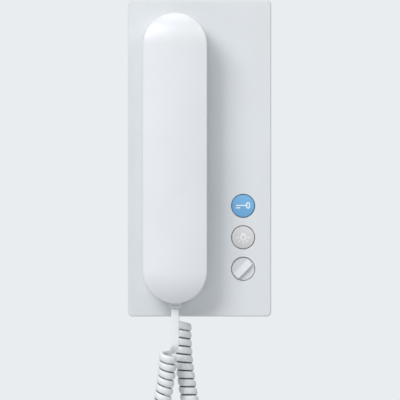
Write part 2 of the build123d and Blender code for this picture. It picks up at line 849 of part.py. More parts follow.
def crowned_bar(inset, depth_low):
    """A long bar whose front is crowned across and bends back at both ends."""
    front = handset_front_depth - inset
    end_radius = handset_end_radius - inset
    crown = handset_crown_radius - inset
    half_flat = handset_length / 2 - handset_end_run
    half_width = handset_width / 2
    sag = crown - math.sqrt(crown**2 - half_width**2)
    low = handset_end_radius - handset_front_depth + depth_low
    drop = end_radius - low
    top = front
    corner_left = (-half_width, top - sag)
    corner_right = (half_width, top - sag)
    foot_left = (-half_width, top - drop)
    foot_right = (half_width, top - drop)
    outline = [
        Line(foot_left, corner_left),
        ThreePointArc(corner_left, (0, top), corner_right),
        Line(corner_right, foot_right),
        Line(foot_right, foot_left),
    ]
    section = make_face(Plane.XY * Wire(outline))
    start = Plane(origin=(handset_x, 0, -half_flat), x_dir=(1, 0, 0), z_dir=(0, 0, 1))
    bar = extrude(flip_depth(start) * section, amount=2 * half_flat)
    centre_depth = handset_front_depth - handset_end_radius
    for side in (-1, 1):
        place = Plane(origin=(handset_x, 0, side * half_flat), x_dir=(1, 0, 0), z_dir=(0, 0, 1))
        axis = Axis((handset_x, -centre_depth, side * half_flat), (-side, 0, 0))
        bar += revolve(flip_depth(place) * section, axis, handset_end_degrees)
    return bar


def flip_depth(plane):
    """The same place, with its y running out of the wall and its z turned to suit."""
    return Plane(origin=plane.origin, x_dir=(-1, 0, 0), z_dir=(0, 0, 1))


def make_handset_front_shell():
    low = handset_parting_depth
    core_low = low - overrun
    outer = raised(handset_outline(0), low, handset_front_depth + overrun, handset_x)
    outer &= crowned_bar(0, core_low)
    rim = [edge for edge in outer.edges() if edge.center().Y < -(low + handset_front_edge)]
    outer = fillet([edge for edge in rim if is_front_rim(edge)], handset_front_edge)
    inner = raised(handset_outline(handset_wall), core_low, handset_front_depth, handset_x)
    inner &= crowned_bar(handset_wall, core_low)
    shell = outer - inner
    for side in (-1, 1):
        z = side * handset_screw_z
        pillar = disc(handset_pillar_diameter, low, handset_front_depth - handset_wall / 2, handset_x, z)
        pillar -= disc(handset_screw_diameter, low - overrun, low + handset_screw_length, handset_x, z)
        shell += pillar & outer
    return shell - plug_hole() - jack_room()


def is_front_rim(edge):
    """True for the edges between the handset's upright wall and its front."""
    samples = [edge @ share for share in (0, 0.5, 1)]
    return all(on_outline(point) for point in samples) and not is_upright(edge)


def is_upright(edge):
    heading = edge % 0.5
    return abs(heading.Y) > abs(heading.X) and abs(heading.Y) > abs(heading.Z)


def on_outline(point):
    """True where a point lies on the handset's stadium outline."""
    radius = handset_width / 2
    straight = handset_length / 2 - radius
    x = point.X - handset_x
    z = max(abs(point.Z) - straight, 0)
    return abs(math.hypot(x, z) - radius) < running_gap


def plug_hole():
    """The hole in the handset's lower end that takes the cord plug."""
    width = plug_width + 2 * fit_gap
    low = handset_plug_depth - plug_thickness / 2 - fit_gap
    high = handset_plug_depth + plug_thickness / 2 + fit_gap
    height = 2 * (handset_length / 2 + handset_jack_bottom_z) + overrun
    return block(width, height, low, high, handset_x, -handset_length / 2)


def jack_room():
    """The room that both shells keep free round the cord socket."""
    size = (jack_width + 2 * fit_gap, jack_length + 2 * fit_gap)
    low = handset_back_depth + handset_wall
    high = handset_plug_depth + jack_thickness / 2 + fit_gap
    return block(*size, low, high, handset_x, handset_jack_bottom_z + jack_length / 2)


def make_handset_back_shell():
    back = handset_back_depth
    floor = back + handset_wall
    shell = raised(handset_outline(0), back, handset_parting_depth, handset_x)
    shell = fillet(at_depth(shell.edges(), back), handset_back_edge)
    shell -= raised(handset_outline(handset_wall), floor, handset_parting_depth + overrun, handset_x)
    lip_outer = handset_wall + fit_gap
    lip = handset_outline(lip_outer) - handset_outline(lip_outer + handset_lip_wall)
    lip_root = floor - handset_wall / 2
    shell += raised(lip, lip_root, handset_parting_depth + handset_lip_height, handset_x)
    shell = shell - plug_hole() - jack_room()
    shell = add_pad(shell, ear_pad_diameter, ear_pad_z)
    shell = add_pad(shell, mouth_pad_diameter, mouth_pad_z)
    shell = add_capsule_collars(shell)
    shell = add_sound_holes(shell)
    shell = add_screw_bosses(shell)
    return add_board_posts(shell)


def add_pad(shell, diameter, z):
    """A round pad that stands out of the handset's back, hollow from inside."""
    pad = disc(diameter, pad_front_depth, handset_back_depth + handset_wall / 2, handset_x, z)
    pad = fillet(at_depth(pad.edges(), pad_front_depth), pad_edge)
    shell += pad
    hollow = (diameter - 2 * pad_wall, pad_front_depth + pad_wall, handset_parting_depth + overrun)
    return shell - disc(*hollow, handset_x, z)


def add_capsule_collars(shell):
    ear_floor = pad_front_depth + pad_wall
    bore = earpiece_diameter + 2 * fit_gap
    outer = ear_pad_diameter - 2 * pad_wall + 2 * running_gap
    ear_top = handset_back_depth + handset_wall + earpiece_collar_height
    shell += tube(outer, bore, ear_floor, ear_top, handset_x, ear_pad_z)
    bore = boot_diameter + 2 * fit_gap
    outer = bore + 2 * mic_collar_wall
    mic_top = ear_floor + mic_collar_height
    return shell + tube(outer, bore, ear_floor, mic_top, handset_x, mouth_pad_z)


def add_sound_holes(shell):
    low = pad_front_depth - overrun
    high = pad_front_depth + pad_wall + foam_height / 2
    for x, z in [(0, 0)] + ring_places(sound_hole_ring_count, sound_hole_ring_diameter):
        shell -= disc(sound_hole_diameter, low, high, handset_x + x, ear_pad_z + z)
    for x, z in [(0, 0)] + ring_places(mic_hole_ring_count, mic_hole_ring_diameter):
        shell -= disc(mic_hole_diameter, low, high, handset_x + x, mouth_pad_z + z)
    return shell


def add_screw_bosses(shell):
    head_seat = handset_back_depth + handset_screw_head_sink + handset_screw_head_height
    for side in (-1, 1):
        z = side * handset_screw_z
        boss_low = handset_back_depth + handset_wall / 2
        shell += disc(handset_boss_diameter, boss_low, handset_parting_depth, handset_x, z)
        sink = handset_screw_head_diameter + 2 * slide_gap
        shell -= disc(sink, 0, head_seat, handset_x, z)
        hole = handset_screw_diameter + 2 * board_hole_gap
        shell -= disc(hole, 0, handset_parting_depth + overrun, handset_x, z)
    return shell


def handset_post_places():
    across = handset_board_width / 2 - handset_post_inset
    z = handset_board_bottom_z + handset_post_inset
    return [(handset_x - across, z), (handset_x + across, z)]


def add_board_posts(shell):
    low = handset_back_depth + handset_wall / 2
    for x, z in handset_post_places():
        shell += disc(handset_post_diameter, low, handset_board_depth, x, z)
    return shell


# Pieces in the handset

def make_earpiece():
    low = pad_front_depth + pad_wall + foam_height
    high = low + earpiece_height - earpiece_step_height
    capsule = disc(earpiece_diameter, low, high, handset_x, ear_pad_z)
    step = earpiece_diameter - 2 * earpiece_step_inset
    return capsule + disc(step, high, low + earpiece_height, handset_x, ear_pad_z)


def make_earpiece_foam():
    low = pad_front_depth + pad_wall
    bore = earpiece_diameter - 2 * foam_inset
    return tube(earpiece_diameter, bore, low, low + foam_height, handset_x, ear_pad_z)


def make_microphone():
    low = pad_front_depth + pad_wall + boot_floor
    return disc(mic_diameter, low, low + mic_height, handset_x, mouth_pad_z)


def make_microphone_boot():
    low = pad_front_depth + pad_wall
    seat = low + boot_floor
    boot = disc(boot_diameter, low, seat + mic_height, handset_x, mouth_pad_z)
    boot -= disc(mic_diameter, seat, seat + mic_height + overrun, handset_x, mouth_pad_z)
    return boot - disc(boot_sound_bore_diameter, low - overrun, seat, handset_x, mouth_pad_z)


def make_handset_magnet():
    low = handset_back_depth + handset_wall
    return block(magnet_length, magnet_width, low, low + magnet_thickness, handset_x, magnet_z)


def make_handset_board():
    middle = handset_board_bottom_z + handset_board_length / 2
    high = handset_board_depth + handset_board_thickness
    size = (handset_board_width, handset_board_length)
    return block(*size, handset_board_depth, high, handset_x, middle)


def make_handset_screws():
    screws = []
    seat = handset_back_depth + handset_screw_head_sink + handset_screw_head_height
    head_low = seat - handset_screw_head_height
    for side in (-1, 1):
        z = side * handset_screw_z
        shank = handset_screw_diameter - 2 * running_gap
        tip = handset_parting_depth + handset_screw_length - seat_gap
        screw = disc(shank, seat, tip, handset_x, z)
        screw += disc(handset_screw_head_diameter, head_low, seat, handset_x, z)
        slot = (handset_screw_head_diameter + overrun, board_screw_slot_width)
        screw -= block(*slot, head_low - overrun, head_low + board_screw_slot_depth, handset_x, z)
        screws.append(screw)
    return screws


# Wires inside

def make_wire_pair(corners):
    """Two wires side by side along straight runs joined by arcs."""
    runs = [(b - a).length for a, b in zip(corners, corners[1:])]
    radii = [wire_bend_share * min(pair) for pair in zip(runs, runs[1:])]
    wires = []
    for shift in spread(2, wire_pitch):
        path = FilletPolyline(*[corner + Vector(shift, 0, 0) for corner in corners], radius=radii)
        section = Plane(origin=path @ 0, z_dir=path % 0) * Circle(wire_diameter / 2)
        wires.append(sweep(section, path=path, clean=False))
    return wires


def make_speaker_wires():
    x = speaker_wire_x
    frame_back = cover_inner_depth - speaker_frame_height
    corners = [
        Vector(x, -frame_back, speaker_wire_top_z),
        Vector(x, -speaker_wire_depth, speaker_wire_top_z),
        Vector(x, -speaker_wire_depth, speaker_wire_end_z),
        Vector(x, -board_front_depth, speaker_wire_end_z),
    ]
    return make_wire_pair(corners)


def make_earpiece_wires():
    x = earpiece_wire_x
    capsule_back = pad_front_depth + pad_wall + foam_height + earpiece_height
    corners = [
        Vector(x, -earpiece_wire_depth, handset_jack_bottom_z + jack_length),
        Vector(x, -earpiece_wire_depth, earpiece_wire_top_z),
        Vector(x, -capsule_back, earpiece_wire_top_z),
    ]
    return make_wire_pair(corners)


# Cord sockets, plugs and lead

def make_jack(x, bottom_z, depth):
    """A socket that is open at the bottom."""
    low = depth - jack_thickness / 2
    high = depth + jack_thickness / 2
    jack = block(jack_width, jack_length, low, high, x, bottom_z + jack_length / 2)
    hollow_length = jack_length - jack_floor
    hollow_low = depth - plug_thickness / 2 - fit_gap
    hollow_high = depth + plug_thickness / 2 + fit_gap
    middle = bottom_z + hollow_length / 2 - overrun / 2
    width = plug_width + 2 * fit_gap
    return jack - block(width, hollow_length + overrun, hollow_low, hollow_high, x, middle)


def plug_body(x, top_z, bottom_z, depth, width, thickness, corner):
    """A plug's plain body, standing upright."""
    section = RectangleRounded(width, thickness, corner)
    return extrude(Plane(origin=(x, -depth, bottom_z)) * section, amount=top_z - bottom_z)


def make_handset_plug():
    top = handset_jack_bottom_z + plug_insert_length
    tail = -handset_length / 2 - handset_plug_tail
    plug = plug_body(handset_x, top, tail, handset_plug_depth, plug_width, plug_thickness, plug_corner)
    neck = (handset_plug_neck_width, handset_plug_neck_thickness, plug_corner)
    plug += plug_body(handset_x, tail, handset_plug_bottom_z, handset_plug_depth, *neck)
    face = handset_plug_depth + plug_thickness / 2
    slot = (handset_plug_slot_width, handset_plug_slot_height)
    return plug - block(*slot, face - handset_plug_slot_depth, face + overrun, handset_x, handset_plug_slot_z)


def make_base_plug():
    top = base_jack_bottom_z + plug_insert_length
    place = (base_jack_x, top, base_plug_bottom_z, base_plug_depth)
    return plug_body(*place, plug_width, plug_thickness, plug_corner)


def coil_start():
    """Where the curly part's straight end leaves the lead."""
    return Vector(handset_x, -handset_plug_depth, coil_route[0][2] + coil_lead_reach + cord_wire_diameter)


def make_lead():
    end = coil_start()
    section = RectangleRounded(lead_width, lead_thickness, lead_corner)
    length = handset_plug_bottom_z - end.Z
    return extrude(Plane(origin=(end.X, end.Y, end.Z)) * section, amount=length)


# Curly cord

def arc_chain(stations):
    """Two tangent arcs between each station and the next; a station is a place and a heading."""
    edges = []
    for (place, heading), (next_place, next_heading) in zip(stations, stations[1:]):
        chord = next_place - place
        both = heading + next_heading
        a = 2 * (1 - heading.dot(next_heading))
        b = 2 * chord.dot(both)
        c = -chord.dot(chord)
        reach = -2 * c / (b + math.sqrt(b * b - 4 * a * c))
        middle = (place + heading * reach + next_place - next_heading * reach) * 0.5
        first = Edge.make_tangent_arc(place, heading, middle)
        edges.append(first)
        edges.append(Edge.make_tangent_arc(middle, first % 1, next_place))
    return edges


def sweep_wire(edges, diameter):
    path = Wire(edges)
    section = Plane(origin=path @ 0, z_dir=path % 0) * Circle(diameter / 2)
    return sweep(section, path=path, clean=False)


def smooth_route(points, steps):
    """Points on the smooth line that the route's points steer, touching each run at its middle."""
    corners = [Vector(*point) for point in points]
    joints = [(a + b) * 0.5 for a, b in zip(corners[1:-2], corners[2:-1])]
    joints = [corners[0]] + joints + [corners[-1]]
    line = [corners[0]]
    for start, corner, end in zip(joints, corners[1:-1], joints[1:]):
        for step in range(1, steps + 1):
            t = step / steps
            line.append(start * (1 - t) ** 2 + corner * (2 * t * (1 - t)) + end * t**2)
    return line


class CoilLine:
    """The middle line of the curly part, with the turns counted along it."""

    def __init__(self):
        self.points = smooth_route(coil_route, coil_route_steps)
        self.lengths = [0.0]
        for a, b in zip(self.points, self.points[1:]):
            self.lengths.append(self.lengths[-1] + (b - a).length)
        self.total = self.lengths[-1]
        self.turns = [0.0]
        for a, b in zip(self.lengths, self.lengths[1:]):
            self.turns.append(self.turns[-1] + (b - a) / self.pitch_at((a + b) / 2))
        self.count = round(self.turns[-1])
        self.turns = [turn * self.count / self.turns[-1] for turn in self.turns]

    def pitch_at(self, length):
        """The pitch widens round the bottom of the loop."""
        off = abs(length / self.total - coil_bend_middle_share) / coil_bend_spread_share
        weight = (1 + math.cos(math.pi * min(off, 1))) / 2
        return coil_pitch + (coil_bend_pitch - coil_pitch) * weight

    def wire_point(self, turn):
        """The wire's centre after a number of turns; whole and half turns are at back and front."""
        index = 1
        while index < len(self.turns) - 1 and self.turns[index] < turn:
            index += 1
        share = (turn - self.turns[index - 1]) / (self.turns[index] - self.turns[index - 1])
        a, b = self.points[index - 1], self.points[index]
        along = (b - a).normalized()
        facing_out = Vector(*coil_facing)
        out = (facing_out - along * facing_out.dot(along)).normalized()
        across = out.cross(along)
        angle = 2 * math.pi * turn + math.pi / 2
        return a + (b - a) * share + (out * math.cos(angle) + across * math.sin(angle)) * coil_radius

    def station(self, turn):
        ahead = self.wire_point(turn + coil_heading_turn_share)
        heading = ahead - self.wire_point(turn - coil_heading_turn_share)
        return self.wire_point(turn), heading.normalized()


def least_gap(edges, diameter):
    """The least clear distance between parts of the wire that aren't neighbours along it."""
    shares = [step / coil_gap_samples for step in range(coil_gap_samples)]
    points = [edge @ share for edge in edges for share in shares]
    spacing = sum(edge.length for edge in edges) / len(points)
    skip = int(coil_gap_skip_share * diameter / spacing)
    places = [(point.X, point.Y, point.Z) for point in points]
    best = min(math.dist(a, b) for index, a in enumerate(places) for b in places[index + skip:])
    return best - diameter


def make_coil():
    line = CoilLine()
    start = coil_start()
    down = Vector(0, 0, -1)
    up = Vector(0, 0, 1)
    end = Vector(base_jack_x, -base_plug_depth, base_plug_bottom_z)
    stations = [(start + down * cord_wire_diameter, down)]
    for half in range(2 * line.count):
        stations.append(line.station(0.25 + half / 2))
    stations.append((end - up * cord_wire_diameter, up))
    curls = arc_chain(stations)
    first = Edge.make_line(start, stations[0][0])
    last = Edge.make_line(stations[-1][0], end)
    edges = [first] + curls + [last]
    coil = sweep_wire(edges, cord_wire_diameter)
    length = sum(edge.length for edge in edges)
    section = math.pi * (cord_wire_diameter / 2) ** 2
    radii = [edge.radius for edge in curls]
    print("coil turns", line.count, "route length", round(line.total, 1))
    print("coil wire length", round(length, 1))
    print("coil volume", round(coil.volume, 1), "section times length", round(section * length, 1))
    print("coil arc radii", round(min(radii), 2), "to", round(max(radii), 2))
    print("coil least gap to itself", round(least_gap(edges, cord_wire_diameter), 2))
    return coil


def all_pieces():
    key = key_symbol()
    bulb = bulb_symbol()
    return {
        "wall_base": make_wall_base(),
        "front_cover": make_front_cover(),
        "keeper_plate": make_keeper_plate(),
        "circuit_board": make_circuit_board(),
        "board_screws": make_board_screws(),
        "terminal_block": make_terminal_block(),
        "terminal_screws": make_terminal_screws(),
        "board_components": make_board_components(),
        "call_speaker": make_call_speaker(),
        "speaker_ring": make_speaker_ring(),
        "door_key": make_key(key, door_z),
        "door_key_symbol": make_symbol(key, door_z),
        "door_key_switch": make_key_switch(door_z),
        "light_key": make_key(bulb, light_z),
        "light_key_symbol": make_symbol(bulb, light_z),
        "light_key_switch": make_key_switch(light_z),
        "volume_knob": make_volume_knob(),
        "volume_shaft": make_volume_shaft(),
        "volume_switch": make_volume_switch(),
        "hook_plunger": make_hook_plunger(),
        "hook_spring": make_hook_spring(),
        "hook_switch": make_hook_switch(),
        "handset_front_shell": make_handset_front_shell(),
        "handset_back_shell": make_handset_back_shell(),
        "handset_screws": make_handset_screws(),
        "handset_magnet": make_handset_magnet(),
        "handset_board": make_handset_board(),
        "earpiece": make_earpiece(),
        "earpiece_foam": make_earpiece_foam(),
        "microphone": make_microphone(),
        "microphone_boot": make_microphone_boot(),
        "speaker_wires": make_speaker_wires(),
        "earpiece_wires": make_earpiece_wires(),
        "handset_jack": make_jack(handset_x, handset_jack_bottom_z, handset_plug_depth),
        "base_jack": make_jack(base_jack_x, base_jack_bottom_z, base_plug_depth),
        "cord_plug_handset": make_handset_plug(),
        "cord_plug_base": make_base_plug(),
        "cord_lead": make_lead(),
        "cord_coil": make_coil(),
    }


def solids_of(piece):
    """The separate solids of a piece, or of a list of pieces."""
    items = piece if isinstance(piece, list) else [piece]
    return [solid for item in items for solid in item.solids()]


os.makedirs("parts", exist_ok=True)
for name, piece in all_pieces().items():
    solids = solids_of(piece)
    shape = solids[0] if len(solids) == 1 else Compound(children=solids)
    export_step(shape, f"parts/{name}.step")
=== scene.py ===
# %% [markdown]
# # An in-house telephone, dressed for the studio
#
# The construction model of the telephone is loaded as a fixed frame: a wall unit, a handset that
# hangs on its left half, two round keys, a volume knob and a curly cord. These cells give each
# piece its finish, wind the cord at its real length, and set the camera and the light. Lengths
# are metres, X runs right, Z runs up, and the telephone stands out from the wall towards -Y.

# %% Load the frame
import json
import math

import bmesh
import bpy
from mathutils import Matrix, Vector


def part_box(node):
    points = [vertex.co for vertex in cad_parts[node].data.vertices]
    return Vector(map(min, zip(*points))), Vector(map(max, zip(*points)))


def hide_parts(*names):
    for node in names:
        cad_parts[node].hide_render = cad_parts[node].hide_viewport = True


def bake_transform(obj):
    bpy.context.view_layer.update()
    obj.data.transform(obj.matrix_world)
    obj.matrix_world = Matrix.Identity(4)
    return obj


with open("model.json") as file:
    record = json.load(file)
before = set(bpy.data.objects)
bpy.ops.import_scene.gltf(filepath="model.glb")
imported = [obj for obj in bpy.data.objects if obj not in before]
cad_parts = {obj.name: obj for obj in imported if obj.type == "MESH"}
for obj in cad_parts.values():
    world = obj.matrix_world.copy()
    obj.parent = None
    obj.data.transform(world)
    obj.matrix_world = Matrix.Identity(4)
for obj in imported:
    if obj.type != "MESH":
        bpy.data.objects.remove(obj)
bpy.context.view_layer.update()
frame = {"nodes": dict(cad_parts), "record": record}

# %% [markdown]
# ## Camera
#
# The telephone is seen straight from the front with almost no perspective, so a long lens far
# away does it. A camera's picture width at its subject is sensor width x distance / focal length,
# and that is turned round here to get the focal length from the width of wall in the picture.

# %% Camera
view_width = 0.254
view_centre = Vector((0.0003, 0.0, -0.0265))
cover_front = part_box("front_cover")[0][1]
camera_distance = 2.5
sensor_width = 36.0

camera_data = bpy.data.cameras.new("front_camera")
camera_data.sensor_width = sensor_width
camera_data.lens = sensor_width * (camera_distance + cover_front) / view_width
camera = bpy.data.objects.new("front_camera", camera_data)
camera.location = view_centre + Vector((0.0, -camera_distance, 0.0))
camera.rotation_euler = (math.radians(90), 0.0, 0.0)
bpy.context.scene.collection.objects.link(camera)
bpy.context.scene.camera = camera
print("focal length", round(camera_data.lens, 1), "mm")

# %% [markdown]
# ## The line of the curly cord
#
# The curly part hangs in a loop: down from the handset's lead, round, and up to the wall unit's
# socket. Its middle line is one smooth spline steered by a few listed points. Blender's NURBS
# spline of order 3 passes near its points without a kink. The order is set after the points,
# because a spline with one point can't hold it.

# %% Route of the cord's middle line
coil_route = [
    (-0.0200, -0.0310, -0.1226),
    (-0.0202, -0.0285, -0.1315),
    (-0.0218, -0.0252, -0.1435),
    (-0.0250, -0.0217, -0.1610),
    (-0.0305, -0.0194, -0.1900),
    (-0.0365, -0.0179, -0.2260),
    (-0.0388, -0.0170, -0.2620),
    (-0.0386, -0.0167, -0.2860),
    (-0.0250, -0.0159, -0.3005),
    (-0.0056, -0.0147, -0.3005),
    (0.0082, -0.0138, -0.2860),
    (0.0084, -0.0133, -0.2620),
    (0.0056, -0.0129, -0.2260),
    (0.0002, -0.0125, -0.1900),
    (-0.0050, -0.0122, -0.1610),
    (-0.0084, -0.0121, -0.1420),
    (-0.0102, -0.0121, -0.1260),
    (-0.0108, -0.0121, -0.1140),
    (-0.0108, -0.0121, -0.1053),
]
route_steps = 40


def spline_points(points, steps):
    """Points along the smooth spline that the given points steer."""
    curve = bpy.data.curves.new("route", "CURVE")
    curve.dimensions = "3D"
    spline = curve.splines.new("NURBS")
    spline.points.add(len(points) - 1)
    for point, place in zip(spline.points, points):
        point.co = (*place, 1.0)
    spline.order_u = 3
    spline.use_endpoint_u = True
    spline.resolution_u = steps
    holder = bpy.data.objects.new("route", curve)
    bpy.context.scene.collection.objects.link(holder)
    mesh = bpy.data.meshes.new_from_object(holder)
    line = [vertex.co.copy() for vertex in mesh.vertices]
    bpy.data.objects.remove(holder)
    bpy.data.curves.remove(curve)
    bpy.data.meshes.remove(mesh)
    return line


middle_line = spline_points(coil_route, route_steps)
print("middle line", len(middle_line), "points")

# %% [markdown]
# ## Turns along the line
#
# The turns are counted along the middle line, so that each is one pitch further on, and a little
# more round the bottom where the weight pulls them open. The count is rounded, because the strand
# enters at the right of the left leg and leaves at the left of the right leg. `strand_place` gives
# where the strand's middle is after a number of turns, and which way is outward from the coil.

# %% Turn counter
strand_width = 0.00475
strand_thickness = 0.0030
coil_outer_radius = 0.00575
coil_radius = coil_outer_radius - strand_thickness / 2
coil_pitch = 0.0052
coil_bend_pitch = 0.0060
bend_middle_share = 0.5
bend_spread_share = 0.22

lengths = [0.0]
for a, b in zip(middle_line, middle_line[1:]):
    lengths.append(lengths[-1] + (b - a).length)


def pitch_at(length):
    """The pitch, which widens round the bottom of the loop."""
    off = abs(length / lengths[-1] - bend_middle_share) / bend_spread_share
    weight = (1 + math.cos(math.pi * min(off, 1))) / 2
    return coil_pitch + (coil_bend_pitch - coil_pitch) * weight


turns = [0.0]
for a, b in zip(lengths, lengths[1:]):
    turns.append(turns[-1] + (b - a) / pitch_at((a + b) / 2))
turn_count = round(turns[-1])
turns = [turn * turn_count / turns[-1] for turn in turns]
print("turns", turn_count, "over", round(lengths[-1], 4), "m")

# %% [markdown]
# The middle line bends, so the coil's front and side are worked out anew at each place: the front
# is the part of a fixed facing direction that stands square to the line. The angle round the coil
# grows with the number of turns, and this one goes round to the left, as the real cord does.

# %% Where the strand is after a number of turns
coil_facing = Vector((0.22, -0.97, 0.0))
start_angle = math.pi / 2


def strand_place(turn):
    """The strand's middle after a number of turns, and the outward direction there."""
    index = 1
    while index < len(turns) - 1 and turns[index] < turn:
        index += 1
    share = (turn - turns[index - 1]) / (turns[index] - turns[index - 1])
    a, b = middle_line[index - 1], middle_line[index]
    along = (b - a).normalized()
    front = (coil_facing - along * coil_facing.dot(along)).normalized()
    across = front.cross(along)
    angle = 2 * math.pi * turn + start_angle
    outward = front * math.cos(angle) + across * math.sin(angle)
    return a.lerp(b, share) + outward * coil_radius, outward


print("first turn starts at", [round(x, 4) for x in strand_place(0.0)[0]])

# %% [markdown]
# ## The whole strand
#
# From the handset's plug the strand runs straight down, flat to the front. At the coil it turns
# aside in its own plane and slips behind the first turn. A cubic curve between two places with
# known headings makes such a change without a kink. The same is done where the last turn rises
# into the socket plug, hidden behind the lead.

# %% Helpers for the strand's two ends
tangent_step = 0.004


def strand_heading(turn):
    """The direction in which the strand runs after a number of turns."""
    ahead = strand_place(turn + tangent_step)[0]
    return (ahead - strand_place(turn - tangent_step)[0]).normalized()


def eased(start, start_heading, end, end_heading, pull, steps):
    """Places on a cubic curve between two places with given headings, without its two ends."""
    places = []
    for step in range(1, steps):
        t = step / steps
        a, b, c, d = (1 - t) ** 3, 3 * t * (1 - t) ** 2, 3 * t * t * (1 - t), t**3
        first, second = start + start_heading * pull, end - end_heading * pull
        places.append(start * a + first * b + second * c + end * d)
    return places


print("strand heads", [round(x, 2) for x in strand_heading(1.0)], "after one turn")

# %% [markdown]
# Each place goes into one list together with the direction that the strand's back faces there. On
# the lead that is the wall, and on the coil it is outward. On the first bend the facing changes
# evenly. On the last it holds on until just before the plug, so that the strand doesn't twist
# where it shows beside the lead.

# %% Places along the strand
lead_top = Vector((-0.0154, -0.0310, -0.09495))
lead_bottom = Vector((-0.0154, -0.0310, -0.1165))
plug_bottom = Vector((-0.0147, -0.01215, -0.0980))
first_turn = 0.22
last_turn = turn_count - 0.06
steps_per_turn = 22
lead_steps = 10
bend_steps = 12
bend_pull = 0.00425
late_twist = 6
back, forth = Vector((0, 1, 0)), Vector((0, -1, 0))
down, up = Vector((0, 0, -1)), Vector((0, 0, 1))
strand = [(lead_top.lerp(lead_bottom, step / lead_steps), back) for step in range(lead_steps + 1)]
entry, entry_out = strand_place(first_turn)
bend = eased(lead_bottom, down, entry, strand_heading(first_turn), bend_pull, bend_steps)
for step, place in enumerate(bend, 1):
    strand.append((place, back.lerp(entry_out, step / bend_steps).normalized()))
turn_steps = round((last_turn - first_turn) * steps_per_turn)
coil_start = len(strand)
for step in range(turn_steps + 1):
    turn = first_turn + (last_turn - first_turn) * step / turn_steps
    strand.append(strand_place(turn))
leaving, leaving_out = strand_place(last_turn)
bend = eased(leaving, strand_heading(last_turn), plug_bottom, up, bend_pull, bend_steps)
for step, place in enumerate(bend, 1):
    strand.append((place, leaving_out.lerp(forth, (step / bend_steps) ** late_twist).normalized()))
strand.append((plug_bottom, forth))
print("strand places", len(strand))

# %% [markdown]
# The radius of a bend is the length of a step over the angle by which the next one turns away from
# it, and the smallest one shows whether the strand is kinked anywhere.

# %% Measure the strand
least_angle = 0.000001
bends = []
for (a, _), (b, _), (c, _) in zip(strand, strand[1:], strand[2:]):
    turned = max((b - a).angle(c - b), least_angle)
    bends.append(((b - a).length + (c - b).length) / 2 / turned)
tightest = min(bends)
print("tightest bend", round(tightest * 1000, 2), "mm at place", bends.index(tightest) + 1)

# %% [markdown]
# ## The strand as a mesh
#
# The jacket is an oval, with two shallow grooves between the wires inside. They run down the face
# that is turned to the front on the lead and inward on the coil. The lead is a little wider and
# flatter than the coil's turns. A bulge of 1 makes an ellipse, and a smaller one squares it off.

# %% The jacket's outline
ring_sides = 28
coil_bulge = 0.85
lead_bulge = 0.6
lead_widening = 1.06
groove_places = (0.0, 0.42)
groove_half_width = 0.14
groove_depth = 0.0004


def oval(share, bulge, widening):
    """The jacket's outline at a share of the way round: across its width, and out of its face."""
    angle = 2 * math.pi * share
    x, y = math.cos(angle), math.sin(angle)
    wide = math.copysign(abs(x) ** bulge, x) * widening * strand_width / 2
    thick = math.copysign(abs(y) ** bulge, y) * strand_thickness / 2
    if y < 0:
        for middle in groove_places:
            thick += groove_depth * math.exp(-(((x - middle) / groove_half_width) ** 2))
    return wide, thick


shares = [side / ring_sides for side in range(ring_sides)]
lead_outline = [Vector(oval(share, lead_bulge, lead_widening)) for share in shares]
coil_outline = [Vector(oval(share, coil_bulge, 1.0)) for share in shares]
print("outline of", ring_sides, "sides")

# %% [markdown]
# Hardly any light gets between two close turns, so shade is painted into the jacket there. For
# that each vertex keeps how deep it lies in such a gap. Only the flanks of the strand do, and only
# where the turns are close: round the loop's bottom and at the coil's two ends they are open.

# %% Depth between the turns
flank_start = 0.86
flank_full = 0.96
bottom_turns = 5
end_turns = 0.6
end_rise = 3


def painted_shade_mask(width, turn):
    """Mask of the painted shade: how deep a place lies between two close turns, from 0 to 1."""
    flank = (abs(width) / (strand_width / 2) - flank_start) / (flank_full - flank_start)
    from_bottom = (abs(turn - turn_count / 2) - bottom_turns) / bottom_turns
    from_end = end_rise * (min(turn, turn_count - turn) - end_turns)
    return min(max(flank, 0.0), 1.0) * min(max(min(from_bottom, from_end), 0.0), 1.0)


print("depth at the edge of turn 10", painted_shade_mask(strand_width / 2, 10))

# %% [markdown]
# A curve with a bevel would twist the oval as it likes, so the rings are placed one by one. The
# oval's thin direction is the coil's outward direction, and its wide one lies along the coil.

# %% Wind the cord
mesh = bmesh.new()
# each vertex keeps its share of the painted shade between close turns
painted_gap_shade = mesh.verts.layers.float.new("painted_gap_shade")
rings = []
for index, (place, outward) in enumerate(strand):
    before = strand[max(index - 1, 0)][0]
    after = strand[min(index + 1, len(strand) - 1)][0]
    heading = (after - before).normalized()
    out = (outward - heading * outward.dot(heading)).normalized()
    side = heading.cross(out)
    change = min(max((index - lead_steps) / bend_steps, 0.0), 1.0)
    ring = []
    for on_lead, on_coil in zip(lead_outline, coil_outline):
        width, rise = on_lead.lerp(on_coil, change)
        vertex = mesh.verts.new(place + side * width + out * rise)
        vertex[painted_gap_shade] = painted_shade_mask(width, (index - coil_start) / steps_per_turn)
        ring.append(vertex)
    rings.append(ring)
for ring, following in zip(rings, rings[1:]):
    for index in range(ring_sides):
        after = (index + 1) % ring_sides
        mesh.faces.new((ring[index], ring[after], following[after], following[index]))
mesh.faces.new(rings[0][::-1])
mesh.faces.new(rings[-1])
bmesh.ops.recalc_face_normals(mesh, faces=mesh.faces)
for face in mesh.faces:
    face.smooth = len(face.verts) == 4
cord_mesh = bpy.data.meshes.new("handset_cord")
mesh.to_mesh(cord_mesh)
mesh.free()
handset_cord = bpy.data.objects.new("handset_cord", cord_mesh)
bpy.context.scene.collection.objects.link(handset_cord)
print("cord faces", len(cord_mesh.polygons))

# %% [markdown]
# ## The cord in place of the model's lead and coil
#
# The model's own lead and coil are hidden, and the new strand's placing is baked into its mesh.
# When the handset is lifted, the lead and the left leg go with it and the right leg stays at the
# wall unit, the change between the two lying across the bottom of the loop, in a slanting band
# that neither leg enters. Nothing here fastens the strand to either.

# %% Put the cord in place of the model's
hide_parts("cord_lead", "cord_coil")
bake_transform(handset_cord)

